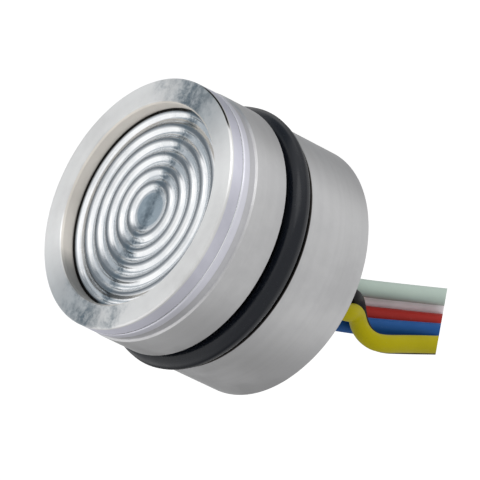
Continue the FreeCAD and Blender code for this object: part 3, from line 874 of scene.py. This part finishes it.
def seal_glass(name, colour, transmission):
    """Fused glass with a faint cloud in it."""
    material, tree, shader = new_material(name, colour, 0.0, 0.08)
    shader.inputs["Transmission Weight"].default_value = transmission
    shader.inputs["IOR"].default_value = 1.5
    haze = group_node(tree, "handling", Cloud_scale=900.0, Speck_scale=6000.0).outputs["Haze"]
    tree.links.new(partly_mixed(tree, haze, 0.3, colour, darker(colour, 0.7)), shader.inputs["Base Color"])
    return material


def dress_node(node, material):
    """Gives a CAD node that is kept its material."""
    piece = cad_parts[node]
    piece.data.materials.clear()
    piece.data.materials.append(material)


# Operators

class CAPSULE_OT_stage(Operator):
    """Make the floor, the light, the backdrop and the photo's camera"""
    bl_idname = "capsule.stage"
    bl_label = "Stage"

    def execute(self, context):
        settings = context.scene.capsule_stage
        self.make_floor(settings)
        self.make_world(context, settings)
        self.make_lamps(settings)
        self.make_camera(context)
        context.scene.view_settings.view_transform = "Standard"
        return {"FINISHED"}

    def make_floor(self, settings):
        begin()
        bpy.ops.mesh.primitive_plane_add(size=settings.floor_size, location=(0, 0, -settings.floor_drop))
        floor = bpy.context.object
        floor.name = "floor"
        material, tree, shader = new_material("pale_floor", settings.floor_colour, 0.0, 0.8)
        path = tree.nodes.new("ShaderNodeLightPath")
        shader.inputs["Emission Color"].default_value = (1.0, 1.0, 1.0, 1.0)
        tree.links.new(math_node(tree, "MULTIPLY", path.outputs["Is Camera Ray"], 0.45),
                       shader.inputs["Emission Strength"])
        clear = tree.nodes.new("ShaderNodeBsdfTransparent")
        blend = tree.nodes.new("ShaderNodeMixShader")
        tree.links.new(path.outputs["Is Glossy Ray"], blend.inputs[0])
        tree.links.new(shader.outputs[0], blend.inputs[1])
        tree.links.new(clear.outputs[0], blend.inputs[2])
        tree.links.new(blend.outputs[0], tree.nodes["Material Output"].inputs["Surface"])
        floor.data.materials.append(material)

    def make_world(self, context, settings):
        """White for the camera, even light for matt surfaces, soft boxes in front for the metal."""
        world = bpy.data.worlds.new("studio")
        context.scene.world = world
        world.use_nodes = True
        tree = world.node_tree
        tree.nodes.clear()
        split = tree.nodes.new("ShaderNodeSeparateXYZ")
        tree.links.new(tree.nodes.new("ShaderNodeTexCoord").outputs["Generated"], split.inputs[0])
        side, along, upward = split.outputs
        off_gap = math_node(tree, "ABSOLUTE", math_node(tree, "SUBTRACT", side, GAP_SIDE))
        in_front = mapped(tree, along, *FRONT_PART, 1.0, 0.0)
        in_gap = mapped(tree, off_gap, settings.gap_half, settings.gap_half + GAP_FADE, 1.0, 0.0)
        in_gap = math_node(tree, "MULTIPLY", in_gap, in_front)
        over = mapped(tree, upward, *CEILING_HEIGHT)
        over = math_node(tree, "MULTIPLY", over, mapped(tree, off_gap, *CEILING_HALF, 1.0, 0.0))
        over = math_node(tree, "MULTIPLY", over, in_front)
        boxes = mapped(tree, side, *BOX_FAR_SIDE, settings.box_light, settings.box_light * 0.75)
        rear = mapped(tree, upward, *REAR_FOOT, settings.rear_light * 0.25, settings.rear_light)
        rear = math_node(tree, "MULTIPLY", rear, mapped(tree, side, *REAR_NEAR_SIDE, 0.45, 1.0))
        rear = math_node(tree, "MULTIPLY", rear, mapped(tree, upward, *REAR_TOP, 1.0, 0.88))
        plain = mixed(tree, mapped(tree, along, *REAR_PART), boxes, rear)
        studio = mixed(tree, in_gap, plain, settings.gap_colour)
        studio = mixed(tree, over, studio, settings.ceiling_colour)
        path = tree.nodes.new("ShaderNodeLightPath")
        even = [settings.room_light] * 3
        tone = mixed(tree, path.outputs["Is Glossy Ray"], even, studio)
        seen = math_node(tree, "MAXIMUM", path.outputs["Is Camera Ray"], path.outputs["Is Transmission Ray"])
        tone = mixed(tree, seen, tone, (1.0, 1.0, 1.0))
        light = tree.nodes.new("ShaderNodeBackground")
        tree.links.new(tone, light.inputs["Color"])
        output = tree.nodes.new("ShaderNodeOutputWorld")
        tree.links.new(light.outputs[0], output.inputs["Surface"])

    def make_lamps(self, settings):
        begin()
        place = Vector((60.0, -160.0, 260.0)) * MM
        bpy.ops.object.light_add(type="AREA", location=place)
        lamp = bpy.context.object
        lamp.name = "key_light"
        lamp.data.size = 180.0 * MM
        lamp.data.energy = settings.key_power
        lamp.rotation_euler = (-place).to_track_quat("-Z", "Y").to_euler()

    def make_camera(self, context):
        begin()
        bpy.ops.object.camera_add()
        camera = bpy.context.object
        camera.name = "photo_camera"
        turn = (Matrix.Rotation(CAMERA_AZIMUTH, 4, "Z")
                @ Matrix.Rotation(math.pi / 2 - CAMERA_ELEVATION, 4, "X")
                @ Matrix.Rotation(CAMERA_ROLL, 4, "Z"))
        back = turn.to_3x3() @ Vector((0.0, 0.0, 1.0))
        camera.matrix_world = Matrix.Translation(CAMERA_AIM + back * CAMERA_DISTANCE) @ turn
        camera.data.sensor_width = CAMERA_SENSOR
        camera.data.lens = CAMERA_LENS
        camera.data.clip_start = 0.01
        context.scene.camera = camera


class CAPSULE_OT_turned_body(Operator):
    """Turn the body with its weld bead, lands, seal groove and rear cavity"""
    bl_idname = "capsule.turned_body"
    bl_label = "Turned body"

    def execute(self, context):
        settings = context.scene.capsule_steel
        profile = softened(self.outline(), settings.edge_radius)
        piece = spun(profile, settings.steps)
        outside = {"Inner": 9.0 * MM, "Softness": 0.05 * MM}
        bead = {"Start": station(BEAD_START), "End": station(BEAD_END), **outside}
        relief = {"Start": station(RELIEF_START), "End": station(RELIEF_END), **outside}
        # Painted shade: the seal groove and the groove's rear edge are painted near black.
        groove_shade = {"Start": station(GROOVE_START + 0.1), "End": station(GROOVE_END + 0.14),
                   "Outer": BODY_RADIUS + 0.1 * MM, "Softness": 0.08 * MM}
        bands = ((settings.bead_colour, bead), (settings.seam_colour, relief),
                 (settings.shade_colour, groove_shade))
        material = turned_steel("turned_steel", settings.body_colour, 0.40, bands=bands)
        finish_piece(piece, "turned_body", material, ("sensor_body",))
        return {"FINISHED"}

    def outline(self):
        """Half section of the body, from the oil port round by the front, the side and the rear cavity."""
        seat = BODY_FRONT + (FILL_GAP + WAVE_HEIGHT) * MM
        pocket = POCKET_RADIUS * MM
        bead_foot = RING_RADIUS - 0.03 * MM
        bead_top = RING_RADIUS + 0.01 * MM
        bead_round = 0.12 * MM
        bead_end = BODY_FRONT + 0.65 * MM
        relief_end = BODY_FRONT + 1.2 * MM
        land_edge = BODY_RADIUS - LAND_EDGE * MM
        groove = GROOVE_RADIUS * MM
        cavity = CAVITY_RADIUS * MM
        ledge = LEDGE_RADIUS * MM
        header_bore = HEADER_RADIUS + HEADER_PLAY * MM
        chamber = CHAMBER_RADIUS * MM
        outline = [(PORT_RADIUS * MM, seat + FRONT_WALL * MM), (PORT_RADIUS * MM, seat)]
        outline += wave_points(seat, 4)
        outline += [
            (pocket, BODY_FRONT + FILL_GAP * MM),
            (pocket, BODY_FRONT),
            (bead_foot, BODY_FRONT),
            (bead_top, BODY_FRONT + bead_round),
            (bead_top, bead_end - bead_round),
            (bead_foot, bead_end),
            (RING_RADIUS - 0.08 * MM, relief_end),
            (BODY_RADIUS, relief_end + 0.1 * MM),
            (BODY_RADIUS, station(GROOVE_START - LAND_EDGE)),
            (land_edge, station(GROOVE_START)),
            (groove + GROOVE_FILLET * MM, station(GROOVE_START)),
            (groove, station(GROOVE_START + GROOVE_FILLET)),
            (groove, station(GROOVE_END - GROOVE_FILLET)),
            (groove + GROOVE_FILLET * MM, station(GROOVE_END)),
            (land_edge, station(GROOVE_END)),
            (BODY_RADIUS, station(GROOVE_END + LAND_EDGE)),
            (BODY_RADIUS, REAR - REAR_CHAMFER * MM),
            (BODY_RADIUS - REAR_CHAMFER * MM, REAR),
            (cavity + CAVITY_CHAMFER * MM, REAR),
            (cavity, REAR - CAVITY_CHAMFER * MM),
            (cavity, BOARD_FRONT),
            (ledge, BOARD_FRONT),
            (ledge, HEADER_REAR),
            (header_bore, HEADER_REAR),
            (header_bore, HEADER_FRONT),
            (chamber, HEADER_FRONT),
            (chamber, seat + FRONT_WALL * MM),
        ]
        return outline


class CAPSULE_OT_weld_ring(Operator):
    """Turn the ring that clamps the foil's edge"""
    bl_idname = "capsule.weld_ring"
    bl_label = "Weld ring"

    def execute(self, context):
        settings = context.scene.capsule_steel
        opening = RING_OPENING * MM
        outline = [
            (opening, FRONT + RING_INNER_CHAMFER * MM),
            (opening + RING_INNER_CHAMFER * MM, FRONT),
            (RING_RADIUS - RING_OUTER_CHAMFER * MM, FRONT),
            (RING_RADIUS, FRONT + RING_OUTER_CHAMFER * MM),
            (RING_RADIUS, RING_REAR - 0.05 * MM),
            (RING_RADIUS - 0.04 * MM, RING_REAR),
            (opening, RING_REAR),
        ]
        piece = spun(softened(outline, settings.edge_radius), settings.steps)
        outside = {"Start": FRONT + 0.2 * MM, "Inner": 9.2 * MM, "Softness": 0.06 * MM}
        wall = {"Start": FRONT + 0.03 * MM, "Outer": opening + 0.14 * MM, "Softness": 0.05 * MM}
        # Painted shade: the foot of the ring's wall, next to the foil, is painted near black.
        foot = {"Start": FRONT + 0.99 * MM, "Outer": opening + 0.1 * MM, "Softness": 0.16 * MM}
        bands = ((settings.tint_colour, outside), (settings.wall_colour, wall), (settings.shade_colour, foot))
        material = turned_steel("ring_steel", settings.ring_colour, 0.42, rings=11000.0, grain=0.9,
                                bands=bands)
        # Painted reflection: a mottled dark blue-grey strip across the ring's front face.
        add_painted_reflection_strip(material, settings, FRONT + 0.06 * MM, RING_REFLECTION_STRIP)
        # Painted shade on the lower part of the ring's wall.
        add_dull_wall_with_painted_shade(material, wall)
        # Painted shade: a thin dark line on the ring's front edge, at the upper right.
        shade_line = {"Start": FRONT + 0.01 * MM, "End": FRONT + 0.16 * MM, "Inner": 9.25 * MM,
                "Softness": 0.03 * MM}
        upper_right = Vector((math.cos(SHADE_LINE_ANGLE), 0.0, math.sin(SHADE_LINE_ANGLE)))
        add_painted_shade_line(material, settings, shade_line, upper_right, 0.95 * RING_RADIUS, 0.975 * RING_RADIUS)
        finish_piece(piece, "clamp_ring", material, ("weld_ring",))
        return {"FINISHED"}


class CAPSULE_OT_diaphragm(Operator):
    """Press the corrugated foil"""
    bl_idname = "capsule.diaphragm"
    bl_label = "Diaphragm"

    def execute(self, context):
        settings = context.scene.capsule_steel
        front_disc = FOIL_DISC - FOIL * MM
        rim = front_disc - WAVE_HEIGHT * MM
        front = [(0.0, front_disc)] + wave_points(front_disc, 12)
        back = [(0.0, FOIL_DISC)] + wave_points(FOIL_DISC, 5)
        edge = RING_RADIUS - 0.02 * MM
        outline = front + [(edge, rim), (edge, rim + FOIL * MM)]
        outline += reversed(back)
        piece = spun(outline, settings.steps, closed=False)
        material = foil_steel("foil_steel", settings, front_disc)
        # Painted reflection: a mottled dark blue-grey strip across the foil.
        add_painted_reflection_strip(material, settings, FOIL_DISC, FOIL_REFLECTION_STRIP)
        finish_piece(piece, "corrugated_foil", material, ("diaphragm",), math.radians(60))
        return {"FINISHED"}


class CAPSULE_OT_seal_ring(Operator):
    """Mould the rubber ring in its groove"""
    bl_idname = "capsule.seal_ring"
    bl_label = "Seal ring"

    def execute(self, context):
        settings = context.scene.capsule_seal
        section = (SEAL_REAR - SEAL_FRONT) / 2
        middle = (SEAL_REAR + SEAL_FRONT) / 2
        centre = SEAL_OUTER_RADIUS - section
        count = 40
        outline = []
        for index in range(count):
            angle = 2 * math.pi * index / count
            proud = settings.flash if index in (0, count // 2) else 0.0
            reach = section - settings.flash + proud
            outline.append((centre + reach * math.cos(angle), middle + reach * math.sin(angle)))
        piece = spun(outline, context.scene.capsule_steel.steps)
        finish_piece(piece, "rubber_ring", rubber("seal_rubber", settings.colour),
                     ("seal_ring",), math.radians(50))
        return {"FINISHED"}


class CAPSULE_OT_inner_parts(Operator):
    """Finish the header and the sensing parts behind the foil"""
    bl_idname = "capsule.inner_parts"
    bl_label = "Inner parts"

    def execute(self, context):
        dress_node("header", turned_steel("header_steel", (0.52, 0.52, 0.51), 0.38, rings=9000.0))
        dress_node("glass_seals", seal_glass("seal_glass", (0.06, 0.16, 0.15), 0.35))
        gold = plain_metal("gold_plate", (0.83, 0.62, 0.26), 0.22, 900.0)
        dress_node("header_pins", gold)
        dress_node("bond_wires", gold)
        dress_node("fill_ball", plain_metal("ball_steel", (0.74, 0.74, 0.75), 0.10, 400.0))
        dress_node("glass_pedestal", seal_glass("pedestal_glass", (0.82, 0.88, 0.88), 0.9))
        dress_node("sensing_chip", hard_finish("silicon", (0.13, 0.14, 0.17), 0.15, 3000.0, coat=0.5))
        dress_node("ceramic_filler", hard_finish("white_ceramic", (0.84, 0.83, 0.79), 0.55, 1800.0))
        return {"FINISHED"}


class CAPSULE_OT_board(Operator):
    """Finish the board and raise its copper traces and pads"""
    bl_idname = "capsule.board"
    bl_label = "Board"

    def execute(self, context):
        settings = context.scene.capsule_board
        laminate = hard_finish("board_laminate", settings.mask, 0.28, 1500.0, coat=0.4)
        dress_node("circuit_board", laminate)
        traced = hard_finish("masked_copper", settings.masked_copper, 0.25, 1500.0, coat=0.4)
        self.make_traces(settings, traced)
        self.make_pads(settings)
        return {"FINISHED"}

    def make_traces(self, settings, material):
        curve = bpy.data.curves.new("traces", "CURVE")
        curve.dimensions = "3D"
        curve.bevel_depth = settings.trace_width / 2
        curve.bevel_resolution = 1
        curve.use_fill_caps = True
        for route in BOARD_TRACES:
            spline = curve.splines.new("POLY")
            spline.points.add(len(route) - 1)
            for point, (x, z) in zip(spline.points, route):
                point.co = (x * MM, BOARD_REAR, z * MM, 1.0)
        piece = curve_piece("traces", curve)
        bpy.ops.object.mode_set(mode="EDIT")
        bpy.ops.mesh.select_all(action="SELECT")
        flat = 2 * settings.trace_rise / settings.trace_width
        bpy.ops.transform.resize(value=(1.0, flat, 1.0), center_override=(0.0, BOARD_REAR, 0.0))
        bpy.ops.object.mode_set(mode="OBJECT")
        finish_piece(piece, "board_traces", material)

    def make_pads(self, settings):
        bore = 0.4 * MM
        rim = settings.pad_radius
        top = BOARD_REAR + settings.trace_rise
        ring = spun([(bore, BOARD_REAR), (rim, BOARD_REAR), (rim, top), (bore, top)], 40)
        piece = placed_copies(ring, box_places("pin_solder") + box_places("lead_solder"))
        plating = plain_metal("board_plating", settings.copper, 0.30, 1200.0)
        finish_piece(piece, "board_pads", plating)


class CAPSULE_OT_resistors(Operator):
    """Set the trimming resistors on the board"""
    bl_idname = "capsule.resistors"
    bl_label = "Resistors"

    def execute(self, context):
        settings = context.scene.capsule_board
        glaze = hard_finish("resistor_body", settings.glaze, 0.25, 2200.0, coat=0.5)
        bodies = soft_blocks(solid_boxes("resistor_chips"), settings.edge_radius)
        finish_piece(bodies, "resistor_bodies", glaze, ("resistor_chips",))
        tin = plain_metal("end_tin", settings.solder, 0.28, 1400.0)
        caps = soft_blocks(solid_boxes("resistor_terminals"), settings.edge_radius)
        finish_piece(caps, "resistor_caps", tin, ("resistor_terminals",))
        return {"FINISHED"}


class CAPSULE_OT_solder_joints(Operator):
    """Flow a cone of solder round each pin and each stripped lead"""
    bl_idname = "capsule.solder_joints"
    bl_label = "Solder joints"

    def execute(self, context):
        solder = plain_metal("solder", context.scene.capsule_board.solder, 0.20, 1100.0)
        for node, bore in (("pin_solder", PIN_RADIUS), ("lead_solder", STRANDS_RADIUS)):
            low, high = solid_boxes(node)[0]
            cone = spun(self.cone_outline(bore, (high.x - low.x) / 2, high.y), 40)
            piece = placed_copies(cone, box_places(node))
            finish_piece(piece, node + "_cones", solder, (node,), math.radians(60))
        return {"FINISHED"}

    def cone_outline(self, bore, foot, top):
        """Hollow-sided like wetted solder: steep against the wire, flat against the pad."""
        steps = 10
        hollow = 2.2
        collar = bore + 0.02 * MM
        rise = top - BOARD_REAR
        outline = [(bore, BOARD_REAR), (foot, BOARD_REAR)]
        for step in range(1, steps + 1):
            share = step / steps
            outline.append((collar + (foot - bore) * (1 - share) ** hollow, BOARD_REAR + rise * share))
        outline.append((bore, top))
        return outline


class CAPSULE_OT_leads(Operator):
    """Run the insulated leads and their strands out of the back, snipped in one slanted plane"""
    bl_idname = "capsule.leads"
    bl_label = "Leads"

    def execute(self, context):
        settings = context.scene.capsule_leads
        copper = plain_metal("tinned_copper", (0.66, 0.60, 0.55), 0.30, 1500.0)
        for colour, route in LEAD_ROUTES.items():
            points = [Vector((x, 0.0, z)) * MM + AXIS * (BOARD_REAR + back * MM) for x, back, z in route]
            material = silicone("silicone_" + colour, getattr(settings, colour))
            self.make_insulation(colour, points, settings, material)
            self.make_strands(colour, points, settings, copper)
        return {"FINISHED"}

    def smooth_line(self, name, points):
        """A smooth curve through the lead's route."""
        curve = bpy.data.curves.new(name, "CURVE")
        curve.dimensions = "3D"
        spline = curve.splines.new("NURBS")
        spline.points.add(len(points) - 1)
        for point, place in zip(spline.points, points):
            point.co = (*place, 1.0)
        spline.order_u = 3
        spline.use_endpoint_u = True
        curve.resolution_u = 12
        return curve

    def trim(self, place, normal, crumb):
        """Cuts the piece off at the plane, closes the cut and merges points nearer than a crumb."""
        bpy.ops.mesh.select_all(action="SELECT")
        bpy.ops.mesh.bisect(
            plane_co=place, plane_no=normal, use_fill=True, clear_outer=True, threshold=TOUCHING)
        bpy.ops.mesh.remove_doubles(threshold=crumb)

    def make_insulation(self, colour, points, settings, material):
        """A tube along the lead's route, cut at both ends and bored there for the strands."""
        curve = self.smooth_line("insulation_" + colour, points)
        curve.bevel_depth = settings.radius
        curve.bevel_resolution = 12
        piece = curve_piece("insulation_" + colour, curve)
        bpy.ops.object.mode_set(mode="EDIT")
        bpy.ops.mesh.select_mode(type="FACE")
        start = Vector((0.0, BOARD_REAR + STRIPPED, 0.0))
        for place, normal in ((SNIP_POINT, SNIP_NORMAL), (start, -AXIS)):
            self.trim(place, normal, CRUMB * settings.radius)
            self.sink_bore(normal, settings)
        bpy.ops.mesh.select_all(action="SELECT")
        bpy.ops.mesh.normals_make_consistent(inside=False)
        bpy.ops.object.mode_set(mode="OBJECT")
        finish_piece(piece, "insulation_" + colour, material, ("lead_" + colour,))

    def sink_bore(self, normal, settings):
        """Insets the cut end to the bore's rim and sinks the bore a little below the cut."""
        bpy.ops.mesh.select_mode(type="FACE")
        bpy.ops.mesh.inset(thickness=settings.radius * BROKEN_EDGE, depth=0.0)
        bpy.ops.mesh.inset(thickness=settings.radius * (1 - BROKEN_EDGE) - settings.bore, depth=0.0)
        bpy.ops.mesh.extrude_region_move(
            TRANSFORM_OT_translate={"value": tuple(normal * -0.25 * MM)})

    def make_strands(self, colour, points, settings, material):
        """Seven strands, six of them laid round the middle one, along the lead's own line."""
        line = curve_piece("line_" + colour, self.smooth_line("line_" + colour, points))
        path = [vertex.co.copy() for vertex in line.data.vertices]
        bpy.ops.object.delete()
        curve = bpy.data.curves.new("strands_" + colour, "CURVE")
        curve.dimensions = "3D"
        curve.bevel_depth = settings.strand * STRAND_FILL
        curve.bevel_resolution = 3
        curve.use_fill_caps = True
        path[0] -= AXIS * 0.5 * MM
        for strand in range(OUTER_STRANDS + 1):
            spline = curve.splines.new("POLY")
            spline.points.add(len(path) - 1)
            gone = 0.0
            side = Vector((1.0, 0.0, 0.0))
            for index, place in enumerate(path):
                ahead = path[min(index + 1, len(path) - 1)] - path[max(index - 1, 0)]
                ahead.normalize()
                side = (side - ahead * side.dot(ahead)).normalized()
                up = ahead.cross(side)
                if index:
                    gone += (place - path[index - 1]).length
                turn = 2 * math.pi * (strand / OUTER_STRANDS + gone / settings.lay_length)
                reach = 0.0 if strand == OUTER_STRANDS else 2 * settings.strand
                offset = (side * math.cos(turn) + up * math.sin(turn)) * reach
                spline.points[index].co = (*(place + offset), 1.0)
        piece = curve_piece("strands_" + colour, curve)
        bpy.ops.object.mode_set(mode="EDIT")
        self.trim(SNIP_POINT - SNIP_NORMAL * 0.03 * MM, SNIP_NORMAL, CRUMB * settings.strand)
        bpy.ops.object.mode_set(mode="OBJECT")
        finish_piece(piece, "strands_" + colour, material, ("conductor_" + colour,))


class CAPSULE_PT_panel(Panel):
    """Lists the capsule's steps in the sidebar"""
    bl_idname = "CAPSULE_PT_panel"
    bl_label = "Sensor Capsule"
    bl_space_type = "VIEW_3D"
    bl_region_type = "UI"
    bl_category = "Capsule"

    def draw(self, context):
        layout = self.layout
        for operator in OPERATORS:
            layout.operator(operator.bl_idname)
        for group in SETTINGS:
            box = layout.box()
            settings = getattr(context.scene, group)
            for key in settings.bl_rna.properties.keys():
                if key not in ("rna_type", "name"):
                    box.prop(settings, key)


OPERATORS = (
    CAPSULE_OT_stage,
    CAPSULE_OT_turned_body,
    CAPSULE_OT_weld_ring,
    CAPSULE_OT_diaphragm,
    CAPSULE_OT_seal_ring,
    CAPSULE_OT_inner_parts,
    CAPSULE_OT_board,
    CAPSULE_OT_resistors,
    CAPSULE_OT_solder_joints,
    CAPSULE_OT_leads,
)
SETTINGS = {
    "capsule_steel": CapsuleSteel,
    "capsule_seal": CapsuleSeal,
    "capsule_leads": CapsuleLeads,
    "capsule_board": CapsuleBoard,
    "capsule_stage": CapsuleStage,
}


def register():
    for name, group in SETTINGS.items():
        bpy.utils.register_class(group)
        setattr(bpy.types.Scene, name, PointerProperty(type=group))
    for operator in OPERATORS:
        bpy.utils.register_class(operator)
    bpy.utils.register_class(CAPSULE_PT_panel)


def unregister():
    bpy.utils.unregister_class(CAPSULE_PT_panel)
    for operator in reversed(OPERATORS):
        bpy.utils.unregister_class(operator)
    for name, group in SETTINGS.items():
        delattr(bpy.types.Scene, name)
        bpy.utils.unregister_class(group)


def main():
    """Makes the stage and every piece in order."""
    register()
    bpy.ops.capsule.stage()
    bpy.ops.capsule.turned_body()
    bpy.ops.capsule.weld_ring()
    bpy.ops.capsule.diaphragm()
    bpy.ops.capsule.seal_ring()
    bpy.ops.capsule.inner_parts()
    bpy.ops.capsule.board()
    bpy.ops.capsule.resistors()
    bpy.ops.capsule.solder_joints()
    bpy.ops.capsule.leads()
    bpy.context.view_layer.update()


if __name__ == "__main__":
    main()
